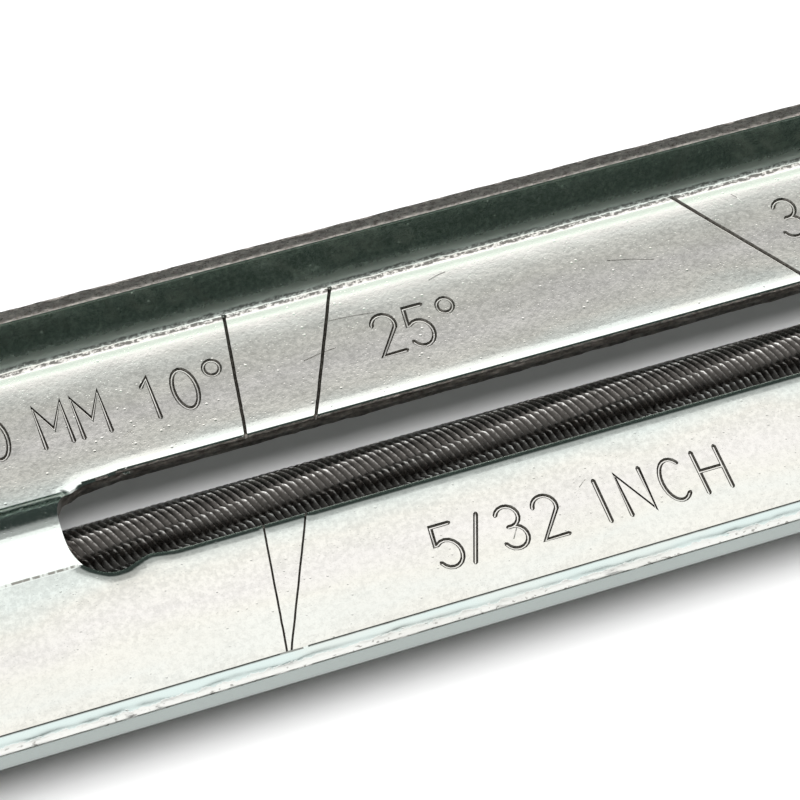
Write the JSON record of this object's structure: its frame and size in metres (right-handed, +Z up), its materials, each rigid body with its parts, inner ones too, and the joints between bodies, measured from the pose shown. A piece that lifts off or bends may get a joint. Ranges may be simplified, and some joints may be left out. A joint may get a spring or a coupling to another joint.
{
  "type": "chainsaw file guide",
  "caption": "Flanged, slotted metal guide plate with angle lines that holds a round file in its slot under wing-nut clamps, with a turned wooden handle on the file's tang",
  "frame": {"origin": "Middle of the bounding box at its base, on the surface that the clamps' feet and the handle stand on", "axes": "+X runs along the file from the handle to the tip, +Y from the near flange to the far flange, +Z up out of the channel"},
  "size_m": [0.308, 0.0312, 0.0259],
  "materials": {
    "zinc_plate": "bright zinc plate with a fine pitted grain and a faint iridescent passivation",
    "file_steel": "dark hardened file steel, double-cut teeth",
    "handle_wood": "turned hardwood under satin varnish",
    "ferrule_steel": "drawn steel tube, polished",
    "clamp_steel": "zinc-plated folded sheet",
    "fastener_steel": "zinc-plated fasteners"
  },
  "bodies": {
    "guide": {"guide_plate": "zinc_plate", "flat_washer_left": "fastener_steel", "flat_washer_right": "fastener_steel", "spring_washer_left": "fastener_steel", "spring_washer_right": "fastener_steel"},
    "wing_nut_left": {"wing_nut_left": "fastener_steel"},
    "wing_nut_right": {"wing_nut_right": "fastener_steel"},
    "bolt_left": {"clamp_bolt_left": "fastener_steel"},
    "bolt_right": {"clamp_bolt_right": "fastener_steel"},
    "clamp_left": {"clamp_left": "clamp_steel"},
    "clamp_right": {"clamp_right": "clamp_steel"},
    "file_carriage": {"ferrule": "ferrule_steel"},
    "file": {"round_file": "file_steel", "handle": "handle_wood"}
  },
  "joints": [
    {"name": "wing_nut_left_turn", "type": "hinge", "parent": "guide", "child": "wing_nut_left", "pos_m": [-0.033, -0.0082, 0.01494], "axis": [0, 0, 1], "range_deg": [0, 990.5]},
    {"name": "bolt_left_drop", "type": "slide", "parent": "guide", "child": "bolt_left", "axis": [0, 0, -1], "range_m": [0, 0.0022]},
    {"name": "clamp_left_swing", "type": "hinge", "parent": "guide", "child": "clamp_left", "pos_m": [-0.033, 0.008, 0.01214], "axis": [1, 0, 0], "range_deg": [0, 6.08]},
    {"name": "wing_nut_right_turn", "type": "hinge", "parent": "guide", "child": "wing_nut_right", "pos_m": [0.139, -0.0082, 0.01494], "axis": [0, 0, 1], "range_deg": [0, 990.5]},
    {"name": "bolt_right_drop", "type": "slide", "parent": "guide", "child": "bolt_right", "axis": [0, 0, -1], "range_m": [0, 0.0022]},
    {"name": "clamp_right_swing", "type": "hinge", "parent": "guide", "child": "clamp_right", "pos_m": [0.139, 0.008, 0.01214], "axis": [1, 0, 0], "range_deg": [0, 6.08]},
    {"name": "file_slide", "type": "slide", "parent": "guide", "child": "file_carriage", "axis": [-1, 0, 0], "range_m": [0, 0.2]},
    {"name": "file_turn", "type": "hinge", "parent": "file_carriage", "child": "file", "pos_m": [0, -0.00039, 0.0095], "axis": [1, 0, 0], "continuous": true}
  ],
  "couplings": [
    {"joint": "wing_nut_left_turn", "follows": "bolt_left_drop", "rad_per_m": 7854},
    {"joint": "clamp_left_swing", "follows": "bolt_left_drop", "rad_per_m": 48.077},
    {"joint": "wing_nut_right_turn", "follows": "bolt_right_drop", "rad_per_m": 7854},
    {"joint": "clamp_right_swing", "follows": "bolt_right_drop", "rad_per_m": 48.077}
  ]
}
